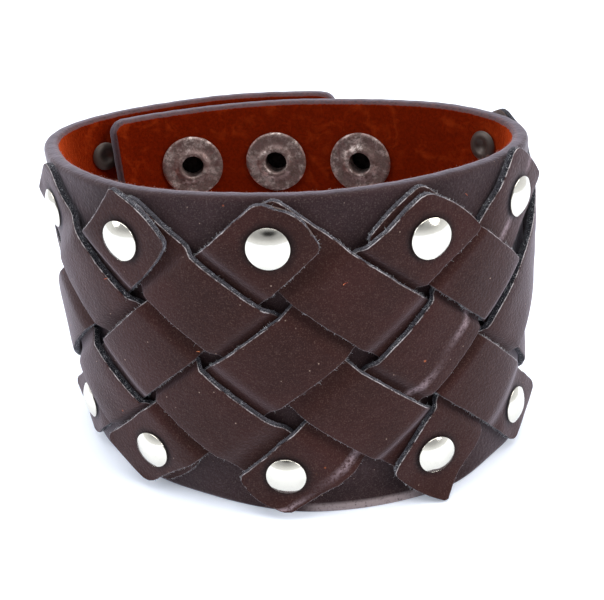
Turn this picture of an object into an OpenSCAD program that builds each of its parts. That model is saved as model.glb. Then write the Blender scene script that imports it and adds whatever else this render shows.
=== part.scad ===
// Studded leather bracelet: a wide leather band with ten woven straps, held by two rows of
// domed rivets, and closed at the back by snaps. Millimetres, +Z up, resting on its lower edge.
// Places on the band are given flat: along it from the middle of the front, positive to the
// right, height above the lower edge, and depth out from the leather's outer face.

/* [Band] */
// Height of the band, along the wrist
band_h = 50; // [50:1:56]
// Thickness of the band's leather
band_t = 2.4; // [2:0.1:2.6]
// Half of the oval's width, left to right
oval_a = 38.1; // [37:0.1:40]
// Half of the oval's depth, front to back
oval_b = 24.8; // [24:0.1:27]
// How much rounder the front of the oval is than the back
oval_egg = 2.1; // [0:0.1:2.5]
// How far the outer end of the band lies outside the oval, where the two ends overlap
outer_shift = 2.8; // [2.8:0.1:3.2]
// How far the inner end lies inside it
inner_shift = 1.6; // [1.6:0.1:2]
// How much taller the band is towards its outer end
outer_extra = 1.5; // [0:0.1:1.6]
// How much taller it is at the right of the back
inner_extra = 1.2; // [0:0.1:1.4]
// How far the lower edge stands to the right of the upper one
band_lean = 0.9; // [0:0.1:1.2]
// How far the straps draw the two sides in at mid height
band_waist = 1.1; // [0:0.1:1.2]

/* [Straps] */
// Width of a strap
strap_w = 10.6; // [9.5:0.1:10.6]
// Thickness of a strap
strap_t = 1.2; // [1.1:0.1:1.3]
// Radius of a strap's corners
strap_corner = 1.6; // [1:0.1:2]

/* [Rivets] */
// Diameter of a rivet's cap
rivet_cap_d = 6; // [5:0.1:6.5]
// Height of a rivet's cap
rivet_cap_h = 1.15; // [0.9:0.05:1.5]
// Diameter of a rivet's shank
rivet_shank_d = 2.4; // [2:0.1:2.6]
// Diameter of a rivet's back
rivet_back_d = 5; // [4.5:0.1:6]

/* [Snaps] */
// Diameter of a snap's cap
snap_cap_d = 12.4; // [11:0.1:13]
// Height of a snap's cap
snap_cap_h = 2.2; // [1.8:0.1:2.6]
// Diameter of the ring inside the wrist opening
snap_post_d = 10.8; // [9.5:0.1:11]
// Diameter of the hole in that ring
snap_hole_d = 3.9; // [3.4:0.1:4]
// Distance from one snap to the next around the band
snap_pitch = 16.3; // [15:0.1:17]
// Distance of the snaps from the band's edges
snap_inset = 10.4; // [9:0.1:13]

/* [Hidden] */
$fn = 48;

// Columns of the tables below
ALONG = 0;
HEIGHT = 1;
TOP_RIVET = 0;
TOP_TAB = 1;
BOTTOM_TAB = 2;
TOP_SHIFT = 3;
MIDDLE_SHIFT = 4;
BOTTOM_SHIFT = 5;

// Rivets from left to right: place along the band, height
top_row = [
    [-63.3, 43.35],
    [-36.5, 43.35],
    [-17.1, 43.4],
    [3.35, 43.9],
    [24.2, 42.85],
    [42.35, 43.7],
    [64.4, 45.4]];
bottom_row = [
    [-59.8, 8.7],
    [-36.9, 8.3],
    [-17.55, 8.35],
    [2.95, 7.7],
    [24.6, 7.8],
    [43.1, 7.65],
    [62.8, 8.7]];

// Straps from left to right: the top rivet, how far the strap reaches past its rivets at the top
// and at the bottom, and how far it lies to the right of the straight line between them at the
// top, the middle and the bottom. A down strap leads to the right, an up strap to the left.
down_straps = [
    [0, 4.8, 6.1, 0, 0.9, 0],
    [1, 6.1, 5.2, 0.4, -0.1, 0.4],
    [2, 4.8, 5, 0.4, 0.5, 0.3],
    [3, 4.9, 5.8, 0.3, 0.9, 0.3],
    [4, 6.3, 5, 0, -0.2, 0]];
up_straps = [
    [2, 6.2, 5.2, 0.5, 0.8, 0],
    [3, 4.9, 6.2, -0.2, 0.3, 0],
    [4, 5.7, 7.3, -0.1, -0.3, -0.5],
    [5, 6, 6.2, -0.5, 1.5, 0.8],
    [6, 4.8, 6, 0, -1.1, 0.5]];

last_rivet = len(top_row) - 1;
weave_step = 2;                        // a strap ends this many rivets further on
mean_pitch = (top_row[last_rivet][ALONG] - top_row[0][ALONG]) / last_rivet;
weave_angle = atan2(top_row[3][HEIGHT] - bottom_row[3][HEIGHT], weave_step * mean_pitch);

layer_gap = 0.12;                      // between the leathers that lie on each other
seat_gap = 0.08;                       // between metal and leather
hole_gap = 0.12;                       // around a shank
cover = strap_w / 2 / sin(2 * weave_angle) + 0.6;    // half a crossing, along the strap
over_rise = strap_t + layer_gap;

inner_end = 136.4;                     // the inner end of the band, along it
outer_end = -106;                      // and the outer end
flap_corner = 2.7;                     // radius of the corners at both ends
band_edge = 0.45;                      // bevel of the band's painted edges
outer_ramp = [40, 62];                 // where the outer end leaves the oval
inner_ramp = [58, 83];                 // where the inner end does
outer_rise = [55, 95];                 // where its upper edge rises towards the outer end
inner_rise = [50, 80];                 // where it rises on the other side
inner_fall = [95, 136];                // and falls again to the inner end
spare_u = -11.3;                       // the free snap column, from the middle of the back

// Puts the middle of the whole part's box at the origin
centre_x = -0.0838;
centre_y = -1.5131;

// The oval, as a table of the distance along it and its angle from the front
angle_first = -215;
angle_step = 2;
angle_count = 235;
function oval(t) = [oval_a * sin(t), -oval_b * cos(t) - oval_egg * cos(2 * t)];
function table_angle(i) = angle_first + i * angle_step;
function table_step(i) = norm(oval(table_angle(i + 1)) - oval(table_angle(i)));
raw_table = [for (i = 0, s = 0; i <= angle_count; s = s + table_step(i), i = i + 1)
    [table_angle(i), s]];
front_along = lookup(0, raw_table);
along_table = [for (row = raw_table) [row[1] - front_along, row[0]]];
girth = lookup(180, raw_table) - lookup(-180, raw_table);

function smooth(x) = let (k = max(0, min(1, x))) k * k * (3 - 2 * k);
function ramp(x, limits) = smooth((x - limits[0]) / (limits[1] - limits[0]));

function angle_at(s) = lookup(s, along_table);
function tangent(t) = [oval_a * cos(t), oval_b * sin(t) + 2 * oval_egg * sin(2 * t)];
function bend(t) = [-oval_a * sin(t), oval_b * cos(t) + 4 * oval_egg * cos(2 * t)];
function radius_at(s) = let (t = angle_at(s), d = tangent(t), e = bend(t))
    pow(norm(d), 3) / (d[0] * e[1] - d[1] * e[0]);
function direction(d) = atan2(d[1], d[0]);

// How far the leather's outer face lies from the oval, and how much taller the band is
function face_shift(s) = outer_shift * ramp(-s, outer_ramp) - inner_shift * ramp(s, inner_ramp);
function extra_at(s) = outer_extra * ramp(-s, outer_rise)
    + inner_extra * (ramp(s, inner_rise) - ramp(s, inner_fall));

// A place along the band, at a height, and a depth out from its outer face
function skin(s, z, depth) = let (t = angle_at(s), h = direction(tangent(t)),
        out = depth + face_shift(s) - waist_at(h, z), p = oval(t))
    [p[0] + out * sin(h) + lean_at(z) - centre_x, p[1] - out * cos(h) - centre_y, z];
function lean_at(z) = band_lean * (1 - z / band_h);
function waist_at(h, z) = band_waist * pow(sin(h), 2) * pow(1 - pow(2 * z / band_h - 1, 2), 2);

// Turns a fitting drawn upright so that it stands square out of the leather
module seat(s, z, depth = 0) {
    right = skin(s + 1, z, 0) - skin(s - 1, z, 0);
    rise = skin(s, z + 1, 0) - skin(s, z - 1, 0);
    out = cross(right, rise);
    translate(skin(s, z, 0))
        rotate([0, 0, direction(right)])
            rotate([90 - asin(out[2] / norm(out)), 0, 0])
                translate([0, 0, depth])
                    children();
}

// How far a flat disc stands off a hollow face of the band
function hollow_sag(s, r) = r * r / (2 * (radius_at(s) + face_shift(s) - band_t));

// A closed skin through a list of sections that have the same number of points. Each square is
// split along the steeper of its diagonals, so that the leathers keep clear round a tight bend.
function plan_gap(p, q) = norm([p[0] - q[0], p[1] - q[1]]);
function side_faces(points, rows, n) = [for (i = [0 : rows - 2]) for (j = [0 : n - 1])
    let (k = (j + 1) % n, a = i * n + j, b = i * n + k, c = a + n, d = b + n)
    each plan_gap(points[a], points[d]) < plan_gap(points[b], points[c])
        ? [[a, b, d], [a, d, c]] : [[a, b, c], [b, d, c]]];
function end_faces(rows, n) = [[for (j = [n - 1 : -1 : 0]) j],
    [for (j = [0 : n - 1]) (rows - 1) * n + j]];
module loft(sections) {
    rows = len(sections);
    n = len(sections[0]);
    points = [for (q = sections) each q];
    polyhedron(points = points, faces = concat(side_faces(points, rows, n), end_faces(rows, n)));
}

// How much a rounded corner takes off at a distance from the end
function corner_cut(d, r) = d >= r ? 0 : r - sqrt(r * r - (r - d) * (r - d));
corner_steps = [0, 0.12, 0.45, 1];

// Band

band_steps = 96;
band_stations = let (last = inner_end - flap_corner, first = outer_end + flap_corner) concat(
    [for (f = corner_steps) if (f < 1) outer_end + f * flap_corner],
    [for (i = [0 : band_steps]) first + (last - first) * i / band_steps],
    [for (i = [2 : -1 : 0]) inner_end - corner_steps[i] * flap_corner]);

// A section has rounded edges, and rows between them that follow the drawn-in sides
band_rows = [for (i = [1 : 5]) i / 6];
function band_section(s) = let (
        cut = corner_cut(min(s - outer_end, inner_end - s), flap_corner),
        low = cut, high = band_h + extra_at(s) - cut, e = band_edge,
        rows = [for (f = band_rows) low * (1 - f) + high * f])
    [for (q = concat([[-e, low], [0, low + e]], [for (z = rows) [0, z]],
        [[0, high - e], [-e, high], [e - band_t, high], [-band_t, high - e]],
        [for (i = [len(rows) - 1 : -1 : 0]) [-band_t, rows[i]]],
        [[-band_t, low + e], [e - band_t, low]]))
        skin(s, q[1], q[0])];

module band() {
    color("#4a2f30")
        difference() {
            loft([for (s = band_stations) band_section(s)]);
            for (p = concat(top_row, bottom_row))
                seat(p[ALONG], p[HEIGHT])
                    bore(rivet_shank_d / 2 + hole_gap);
            for (z = snap_heights) {
                for (i = [0, 1])
                    seat(outer_along(i), z)
                        bore(cap_shank_r + hole_gap);
                for (i = [0, 1, 2])
                    seat(inner_along(i), z)
                        bore(post_tube_r + hole_gap);
            }
        }
}

// A hole straight through all the leather at one place
bore_margin = 1.5;
module bore(r) {
    translate([0, 0, -band_t - bore_margin])
        cylinder(h = band_t + 2 * over_rise + 2 * bore_margin, r = r);
}

// Straps

function flat_dir(p, q) = (q - p) / norm(q - p);
function cross2(a, b) = a[0] * b[1] - a[1] * b[0];

// Distance from p towards q at which the line through two other points crosses it
function crossing(p, q, r, w) = cross2(r - p, w - r) / cross2(flat_dir(p, q), w - r);

function down_line(k) = [top_row[k], bottom_row[k + weave_step]];
function up_line(k) = [top_row[k], bottom_row[k - weave_step]];
function has_down(k) = k >= 0 && k + weave_step <= last_rivet;
function has_up(k) = k >= weave_step && k <= last_rivet;

// How far a strap lies to the right of its line, at a share of its length
function shift_at(row, f) = row[TOP_SHIFT] * (1 - f) * (1 - 2 * f)
    + row[MIDDLE_SHIFT] * 4 * f * (1 - f) + row[BOTTOM_SHIFT] * f * (2 * f - 1);

// Distance along one strap to another, which moves with the other's own shift
function meeting(me, other, row, way) = let (
        on_other = crossing(other[0], other[1], me[0], me[1]) / norm(other[1] - other[0]))
    crossing(me[0], me[1], other[0], other[1]) + way * shift_at(row, on_other);

// Each strap meets up to five others: the distance along it, 1 where it lies on top of them,
// and whether its level is known there
function down_meets(k) = let (me = down_line(k), whole = norm(me[1] - me[0]))
    [for (m = [0 : 4]) let (other = k + m) has_up(other)
        ? [meeting(me, up_line(other), up_straps[other - weave_step], 1), m % 2, true]
        : [whole * m / 4, 0, m % 4 == 0]];
function up_meets(k) = let (me = up_line(k), whole = norm(me[1] - me[0]))
    [for (m = [0 : 4]) let (other = k - m) has_down(other)
        ? [meeting(me, down_line(other), down_straps[other], -1), 1 - m % 2, true]
        : [whole * m / 4, 0, m % 4 == 0]];

// Its level is known at both its rivets and at each strap that it meets, and even between them
function level_table(meets) = [for (m = meets) if (m[2])
    each [[m[0] - cover, m[1]], [m[0] + cover, m[1]]]];

// Stations along a strap: its rounded ends, each crossing, and the rise between two of them
function strap_stations(first, last, meets) = concat(
    [for (f = corner_steps) first + f * strap_corner],
    [for (i = [0 : 4]) each [
        for (f = [-1, -0.5, 0, 0.5, 1]) meets[i][0] + f * cover,
        if (i < 4) for (f = [1 / 3, 2 / 3])
            (meets[i][0] + cover) * (1 - f) + (meets[i + 1][0] - cover) * f]],
    [for (i = [3 : -1 : 0]) last - corner_steps[i] * strap_corner]);
function inside_only(list, first, last) = [for (i = [0 : len(list) - 1])
    if (i < 4 || i > len(list) - 5
        || (list[i] > first + strap_corner + 0.3 && list[i] < last - strap_corner - 0.3)) list[i]];

// Past its rivet a stiff tab runs straight on, while the leather under it bends away. The ramps
// say where that begins, in a lone tab, the upper of two and the lower of two.
LONE = 0;
UPPER = 1;
LOWER = 2;
flat_ramps = [[-5, 1], [-7, -2], [0, 3]];
flat_shares = [1, 1, 0.25];
function tab_stand(q, u, whole, line, lies) = let (
        at_top = u < whole / 2, p = at_top ? line[0] : line[1], lie = lies[at_top ? 0 : 1])
    flat_shares[lie] * ramp(at_top ? -u : u - whole, flat_ramps[lie])
        * pow(q[ALONG] - p[ALONG], 2) / (2 * radius_at(p[ALONG]));

strap_parts = 3;                       // flat stretches across a strap
module strap(line, row, meets, slope, lies) {
    whole = norm(line[1] - line[0]);
    dir = flat_dir(line[0], line[1]);
    side = [cos(slope), sin(slope)];
    half = strap_w / 2 / abs(cross2(dir, side));
    first = -row[TOP_TAB];
    last = whole + row[BOTTOM_TAB];
    levels = level_table(meets);
    turn = sign(cross2(side, dir));
    us = inside_only(strap_stations(first, last, meets), first, last);
    color("#4b3029")
        difference() {
            loft([for (u = us) let (
                    low = layer_gap + over_rise * smooth(lookup(u, levels)),
                    reach = half - corner_cut(min(u - first, last - u), strap_corner),
                    mid = line[0] + u * dir + shift_at(row, u / whole) * side)
                concat(
                    [for (i = [0 : strap_parts]) let (v = reach * (2 * i / strap_parts - 1))
                        tab_point(mid + turn * v * side, low, u, whole, line, lies)],
                    [for (i = [strap_parts : -1 : 0]) let (v = reach * (2 * i / strap_parts - 1))
                        tab_point(mid + turn * v * side, low + strap_t, u, whole, line, lies)])]);
            for (p = line)
                seat(p[ALONG], p[HEIGHT])
                    bore(rivet_shank_d / 2 + hole_gap);
        }
}
function tab_point(q, depth, u, whole, line, lies) =
    skin(q[ALONG], q[HEIGHT], depth + tab_stand(q, u, whole, line, lies));

module strap_down(i) {
    row = down_straps[i - 1];
    top = row[TOP_RIVET];
    strap(down_line(top), row, down_meets(top), weave_angle,
        [has_up(top) ? LOWER : LONE, has_up(top + 2 * weave_step) ? LOWER : LONE]);
}
module strap_up(i) {
    row = up_straps[i - 1];
    top = row[TOP_RIVET];
    strap(up_line(top), row, up_meets(top), -weave_angle,
        [has_down(top) ? UPPER : LONE, has_down(top - 2 * weave_step) ? UPPER : LONE]);
}

// Rivets

// A low dome on its flat base
module dome(d, h, rim) {
    ball = (d * d / 4 + pow(h - rim, 2)) / (2 * (h - rim));
    cylinder(h = rim, d = d);
    intersection() {
        translate([0, 0, h - ball])
            sphere(r = ball, $fn = 96);
        translate([0, 0, rim / 2])
            cylinder(h = h, d = d);
    }
}

rivet_rim = 0.3;                       // straight edge of the cap
rivet_back_t = 0.6;
module rivet(p, layers) {
    foot = layers * over_rise + seat_gap;
    back = band_t + 2 * seat_gap + hollow_sag(p[ALONG], rivet_back_d / 2);
    color("#cfcfd2")
        seat(p[ALONG], p[HEIGHT])
            difference() {
                union() {
                    translate([0, 0, foot])
                        dome(rivet_cap_d, rivet_cap_h, rivet_rim);
                    translate([0, 0, -back - rivet_back_t / 2])
                        cylinder(h = back + foot + rivet_back_t / 2 + rivet_rim / 2, d = rivet_shank_d);
                    mirror([0, 0, 1])
                        translate([0, 0, back])
                            dome(rivet_back_d, rivet_back_t, 0.2);
                }
                translate([0, 0, -back - rivet_back_t - 0.4])
                    cylinder(h = 0.8, d = rivet_shank_d * 0.75);
            }
}
function layer_count(a, b) = (a ? 1 : 0) + (b ? 1 : 0);
module rivet_top(k) {
    rivet(top_row[k], layer_count(has_down(k), has_up(k)));
}
module rivet_bottom(k) {
    rivet(bottom_row[k], layer_count(has_down(k - weave_step), has_up(k + weave_step)));
}

// Snaps

snap_heights = [band_h + outer_extra / 2 - snap_inset, snap_inset];
cap_shank_r = 1.5;
post_tube_r = snap_hole_d / 2 + 0.3;
stud_d = 10.2;
stud_t = 0.35;
bulb_r = 1.9;
bulb_h = 0.5;
socket_d = 10;
socket_t = 0.95;
socket_web = 0.35;

// Snap columns, counted from the left seen from the front: two are closed, the third is spare
function inner_along(i) = girth / 2 + spare_u + (2 - i) * snap_pitch;
function outer_along(i) = inner_along(i) - girth;

module snap_cap(i, z) {
    s = outer_along(i);
    tail = band_t + hollow_sag(s, socket_d / 2) + seat_gap + socket_web;
    color("#b9b6b4")
        seat(s, z) {
            translate([0, 0, seat_gap])
                dome(snap_cap_d, snap_cap_h, 0.5);
            translate([0, 0, -tail])
                cylinder(h = tail + 0.5, r = cap_shank_r);
        }
}

// A ring with a web: the web holds the cap's shank and the mouth takes the stud's bulb
module snap_socket(i, z) {
    s = outer_along(i);
    color("#a8a5a3")
        seat(s, z, -band_t - hollow_sag(s, socket_d / 2) - seat_gap)
            difference() {
                translate([0, 0, -socket_t])
                    cylinder(h = socket_t, d = socket_d);
                translate([0, 0, -socket_t - 0.5])
                    cylinder(h = socket_t + 0.5 - socket_web, r = bulb_r + 0.2);
                translate([0, 0, -socket_web - 0.5])
                    cylinder(h = 1.5, r = cap_shank_r + 0.1);
            }
}

module snap_stud(i, z) {
    color("#a8a5a3")
        seat(inner_along(i), z, seat_gap) {
            cylinder(h = stud_t, d = stud_d);
            translate([0, 0, stud_t / 2])
                cylinder(h = stud_t / 2 + bulb_h, r = bulb_r);
        }
}

// A flat ring with a raised lip around the hole, and the tube that holds the stud
post_ring_t = 0.45;
post_lip = 0.4;
module snap_post(i, z) {
    s = inner_along(i);
    back = band_t + hollow_sag(s, snap_post_d / 2) + seat_gap;
    color("#b2a8a6")
        seat(s, z)
            difference() {
                union() {
                    translate([0, 0, -back - post_ring_t])
                        cylinder(h = post_ring_t, d = snap_post_d);
                    translate([0, 0, -back - post_ring_t - post_lip])
                        cylinder(h = post_lip + post_ring_t, r1 = post_tube_r + 0.35, r2 = post_tube_r + 1);
                    translate([0, 0, -back])
                        cylinder(h = back, r = post_tube_r);
                }
                translate([0, 0, -back - 2])
                    cylinder(h = back + 3, d = snap_hole_d);
            }
}

band();
strap_down(1);  // strap_down_1
strap_down(2);  // strap_down_2
strap_down(3);  // strap_down_3
strap_down(4);  // strap_down_4
strap_down(5);  // strap_down_5
strap_up(1);  // strap_up_1
strap_up(2);  // strap_up_2
strap_up(3);  // strap_up_3
strap_up(4);  // strap_up_4
strap_up(5);  // strap_up_5
rivet_top(0);  // rivet_top_0
rivet_top(1);  // rivet_top_1
rivet_top(2);  // rivet_top_2
rivet_top(3);  // rivet_top_3
rivet_top(4);  // rivet_top_4
rivet_top(5);  // rivet_top_5
rivet_top(6);  // rivet_top_6
rivet_bottom(0);  // rivet_bottom_0
rivet_bottom(1);  // rivet_bottom_1
rivet_bottom(2);  // rivet_bottom_2
rivet_bottom(3);  // rivet_bottom_3
rivet_bottom(4);  // rivet_bottom_4
rivet_bottom(5);  // rivet_bottom_5
rivet_bottom(6);  // rivet_bottom_6
snap_cap(0, snap_heights[0]);  // snap_cap_upper_1
snap_cap(1, snap_heights[0]);  // snap_cap_upper_2
snap_cap(0, snap_heights[1]);  // snap_cap_lower_1
snap_cap(1, snap_heights[1]);  // snap_cap_lower_2
snap_socket(0, snap_heights[0]);  // snap_socket_upper_1
snap_socket(1, snap_heights[0]);  // snap_socket_upper_2
snap_socket(0, snap_heights[1]);  // snap_socket_lower_1
snap_socket(1, snap_heights[1]);  // snap_socket_lower_2
snap_stud(0, snap_heights[0]);  // snap_stud_upper_1
snap_stud(1, snap_heights[0]);  // snap_stud_upper_2
snap_stud(2, snap_heights[0]);  // snap_stud_upper_3
snap_stud(0, snap_heights[1]);  // snap_stud_lower_1
snap_stud(1, snap_heights[1]);  // snap_stud_lower_2
snap_stud(2, snap_heights[1]);  // snap_stud_lower_3
snap_post(0, snap_heights[0]);  // snap_post_upper_1
snap_post(1, snap_heights[0]);  // snap_post_upper_2
snap_post(2, snap_heights[0]);  // snap_post_upper_3
snap_post(0, snap_heights[1]);  // snap_post_lower_1
snap_post(1, snap_heights[1]);  // snap_post_lower_2
snap_post(2, snap_heights[1]);  // snap_post_lower_3
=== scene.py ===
import math
import bpy
import numpy as np
from mathutils import Matrix, Vector


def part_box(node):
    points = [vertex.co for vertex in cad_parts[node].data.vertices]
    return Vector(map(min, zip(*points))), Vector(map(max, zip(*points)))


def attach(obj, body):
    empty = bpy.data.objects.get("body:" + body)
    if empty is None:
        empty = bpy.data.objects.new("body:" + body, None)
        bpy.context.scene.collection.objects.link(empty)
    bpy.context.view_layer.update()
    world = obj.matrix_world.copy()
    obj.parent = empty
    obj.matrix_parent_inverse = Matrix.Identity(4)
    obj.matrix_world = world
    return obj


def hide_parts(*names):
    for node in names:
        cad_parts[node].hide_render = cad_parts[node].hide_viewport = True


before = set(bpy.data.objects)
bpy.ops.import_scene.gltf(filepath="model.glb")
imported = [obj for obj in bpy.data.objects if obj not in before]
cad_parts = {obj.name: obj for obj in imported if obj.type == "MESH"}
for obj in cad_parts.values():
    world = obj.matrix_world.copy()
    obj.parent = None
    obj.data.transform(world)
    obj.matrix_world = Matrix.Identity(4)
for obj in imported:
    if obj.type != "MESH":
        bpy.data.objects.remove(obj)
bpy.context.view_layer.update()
mm = 0.001
print("frame loaded:", len(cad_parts), "nodes")

# The band's own shape, in millimetres, with the numbers that the frame was made from. Only the
# flare is this scene's own. "along" is a distance along the leather from the middle of the front,
# positive to the right, and each pair is the two such distances between which something changes.
oval = {
    "halfWidth": 38.1,
    "halfDepth": 24.8,
    "egg": 2.1,  # how much rounder the front is than the back
    "centre": (-0.0838, -1.5131),  # of the frame, seen from the middle of the oval
    "height": 50.0,
    "lean": 0.9,  # how far the lower edge lies to the right of the upper one
    "waist": 1.1,  # how far the sides are drawn in at mid height
    "outerShift": 2.8,  # how far the outer end lies outside the oval
    "innerShift": 1.6,  # and how far the inner end lies inside it
    "outerRamp": (40, 62),
    "innerRamp": (58, 83),
    "outerExtra": 1.5,  # how much taller the leather is towards its outer end
    "outerRise": (55, 95),
    "innerExtra": 1.2,  # and on the right of the back
    "innerRise": (50, 80),
    "innerFall": (95, 136),
    "flare": 1.9,  # how far the lower edge of the front turns out
    "flareFrom": (-14, 8),
    "flareTo": (26, 40),
    "flareHeight": 6.0,
    "angles": (-215, 256, 0.25),  # degrees round the oval, past both ends, and their step
}


# A smooth step from 0 to 1: three times the square less twice the cube
def smooth(x):
    k = np.clip(x, 0, 1)
    return k * k * (3 - 2 * k)


# The smooth step between two limits
def ramp(x, limits):
    return smooth((x - limits[0]) / (limits[1] - limits[0]))


# The oval is an ellipse whose front is rounder than its back: (a sin t, -b cos t - egg cos 2t),
# where a and b are half its width and depth
def ovalPoint(t):
    return (oval["halfWidth"] * np.sin(t),
            -oval["halfDepth"] * np.cos(t) - oval["egg"] * np.cos(2 * t))


# Its direction: the derivative of that point, made one long
def ovalTangent(t):
    x = oval["halfWidth"] * np.cos(t)
    y = oval["halfDepth"] * np.sin(t) + 2 * oval["egg"] * np.sin(2 * t)
    length = np.hypot(x, y)
    return x / length, y / length


# The length of the oval's arc at each angle, measured from the middle of the front
ovalAngles = np.radians(np.arange(*oval["angles"]))
ovalX, ovalY = ovalPoint(ovalAngles)
ovalAlong = np.concatenate([[0], np.cumsum(np.hypot(np.diff(ovalX), np.diff(ovalY)))])
ovalAlong -= np.interp(0, ovalAngles, ovalAlong)
girth = np.interp(math.pi, ovalAngles, ovalAlong) - np.interp(-math.pi, ovalAngles, ovalAlong)


# Radius of the oval's bend: speed cubed over the cross product of its two derivatives
def ovalRadius(along):
    t = np.interp(along, ovalAlong, ovalAngles)
    a, b, egg = oval["halfWidth"], oval["halfDepth"], oval["egg"]
    x, y = a * np.cos(t), b * np.sin(t) + 2 * egg * np.sin(2 * t)
    xx, yy = -a * np.sin(t), b * np.cos(t) + 4 * egg * np.cos(2 * t)
    return np.hypot(x, y) ** 3 / (x * yy - y * xx)


# The ends overlap: the outer one moves out of the oval and the inner one into it
def faceShift(along):
    return (oval["outerShift"] * ramp(-along, oval["outerRamp"])
            - oval["innerShift"] * ramp(along, oval["innerRamp"]))


# How much taller the band is towards the back, on smooth ramps
def extraAt(along):
    right = ramp(along, oval["innerRise"]) - ramp(along, oval["innerFall"])
    return oval["outerExtra"] * ramp(-along, oval["outerRise"]) + oval["innerExtra"] * right


# The lower edge turns out a little from the middle of the front to its right: a smooth span
# times the square of the way down
def flareAt(along, height):
    span = ramp(along, oval["flareFrom"]) * (1 - ramp(along, oval["flareTo"]))
    return oval["flare"] * span * np.clip(1 - height / oval["flareHeight"], 0, 1) ** 2


# A place on the leather: along it, height, and depth out of its outer face, in metres. The two
# sides are drawn in at mid height.
def skin(along, height, depth):
    t = np.interp(along, ovalAlong, ovalAngles)
    x, y = ovalPoint(t)
    tx, ty = ovalTangent(t)
    waist = oval["waist"] * ty ** 2 * (1 - (2 * height / oval["height"] - 1) ** 2) ** 2
    out = depth + faceShift(along) - waist + flareAt(along, height)
    cx, cy = oval["centre"]
    lean = oval["lean"] * (1 - height / oval["height"])
    return np.stack([x + out * ty + lean - cx, y - out * tx - cy, height + 0 * out], axis=-1) * mm


# A vector made one long
def unit(vector):
    return vector / np.linalg.norm(vector)


# The frame of a fitting that stands square out of the leather: its place and three axes
def seatAt(along, height):
    right = unit(skin(along + 1.0, height, 0.0) - skin(along - 1.0, height, 0.0))
    rise = unit(skin(along, height + 1.0, 0.0) - skin(along, height - 1.0, 0.0))
    out = unit(np.cross(right, rise))
    return skin(along, height, 0.0), np.stack([right, np.cross(out, right), out])


# Where a fitting of the frame sits on a stretch of the leather: the spot nearest to the middle of
# its box
def placeOf(node, stretch="outer"):
    low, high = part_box(node)
    middle = np.array((low + high) / 2) / mm
    tries = np.arange(*stretches[stretch])
    spots = skin(tries, middle[2], 0.0)[:, :2] / mm
    nearest = tries[np.argmin(np.hypot(*(spots - middle[:2]).T))]
    return float(nearest), float(middle[2])


# Meshes

# Makes a piece from arrays, turned the right way out by the sign of its volume. It rides on the
# root body in place of the frame's nodes that it dresses.
def makePiece(name, points, faces, material, replaces=(), attributes=None, sharp=None):
    if volumeOf(points, faces) < 0:
        faces = [f[::-1] for f in faces]
    sizes = np.array([len(f) for f in faces])
    loops = np.concatenate([np.asarray(f) for f in faces])
    starts = np.concatenate([[0], np.cumsum(sizes)[:-1]])
    mesh = bpy.data.meshes.new(name)
    mesh.vertices.add(len(points))
    mesh.vertices.foreach_set("co", np.asarray(points, np.float32).ravel())
    mesh.loops.add(len(loops))
    mesh.loops.foreach_set("vertex_index", loops.astype(np.int32))
    mesh.polygons.add(len(sizes))
    mesh.polygons.foreach_set("loop_start", starts.astype(np.int32))
    mesh.polygons.foreach_set("use_smooth", np.ones(len(sizes), bool))
    mesh.update(calc_edges=True)
    for key, values in (attributes or {}).items():
        attribute = mesh.attributes.new(key, "FLOAT", "POINT")
        attribute.data.foreach_set("value", np.asarray(values, np.float32))
    mesh.validate()
    if sharp:
        mesh.set_sharp_from_angle(angle=math.radians(sharp))
    piece = bpy.data.objects.new(name, mesh)
    bpy.context.scene.collection.objects.link(piece)
    mesh.materials.append(material)
    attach(piece, "root")
    if replaces:
        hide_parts(*replaces)


# Signed volume of a closed mesh of quads and triangles, each fanned from its first corner
def volumeOf(points, faces):
    total = 0.0
    for size in {len(f) for f in faces}:
        f = np.array([g for g in faces if len(g) == size])
        for k in range(1, size - 1):
            a, b, c = points[f[:, 0]], points[f[:, k]], points[f[:, k + 1]]
            total += np.einsum("ij,ij->i", a, np.cross(b, c)).sum() / 6
    return total


# A slab of leather on a grid: a top and a bottom skin, and a rim round the outside and round
# each hole. Rim edges are those with one kept cell beside them.
def slabFaces(rows, columns, keep):
    index = np.arange(rows * columns).reshape(rows, columns)
    count = rows * columns
    a, b = index[:-1, :-1], index[1:, :-1]
    c, d = index[1:, 1:], index[:-1, 1:]
    top = np.stack([a, b, c, d], -1)[keep]
    padded = np.pad(keep, 1)
    edges = []
    here = padded[1:-1, 1:-1]
    for first, second, beside in ((a, b, padded[1:-1, :-2]), (b, c, padded[2:, 1:-1]),
                                  (c, d, padded[1:-1, 2:]), (d, a, padded[:-2, 1:-1])):
        alone = here & ~beside
        edges.append(np.stack([first[alone], second[alone]], -1))
    edge = np.concatenate(edges)
    rim = np.stack([edge[:, 1], edge[:, 0], edge[:, 0] + count, edge[:, 1] + count], -1)
    return top, top[:, ::-1] + count, rim


# The points of a slab's two skins, and a value of both, the top one first
def slabPoints(alongs, heights, top, bottom):
    return np.concatenate([skin(alongs, heights, d).reshape(-1, 3) for d in (top, bottom)])


def slabValue(top, bottom):
    return np.concatenate([top.ravel(), bottom.ravel()])


# Distances from an edge at which a slab has rows: close at the edge, wide inside
def edgeRows(whole, fine, step):
    fine = np.array(fine)
    count = max(2, round((whole - 2 * fine[-1]) / step) + 1)
    inner = np.linspace(fine[-1], whole - fine[-1], count)
    return np.concatenate([fine[:-1], inner, (whole - fine[:-1])[::-1]])


uneven = {"waves": 5, "lengths": (0.6, 1.6)}

# Where the random numbers of each thing start. The straps add their own number.
seeds = {
    "wave": 3,
    "ripple": 4,
    "billow": 5,
    "downStraps": 0,
    "upStraps": 100,
    "fray": 300,
    "rim": 77,
    "rimShape": 78,
    "lint": 79,
}


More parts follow.
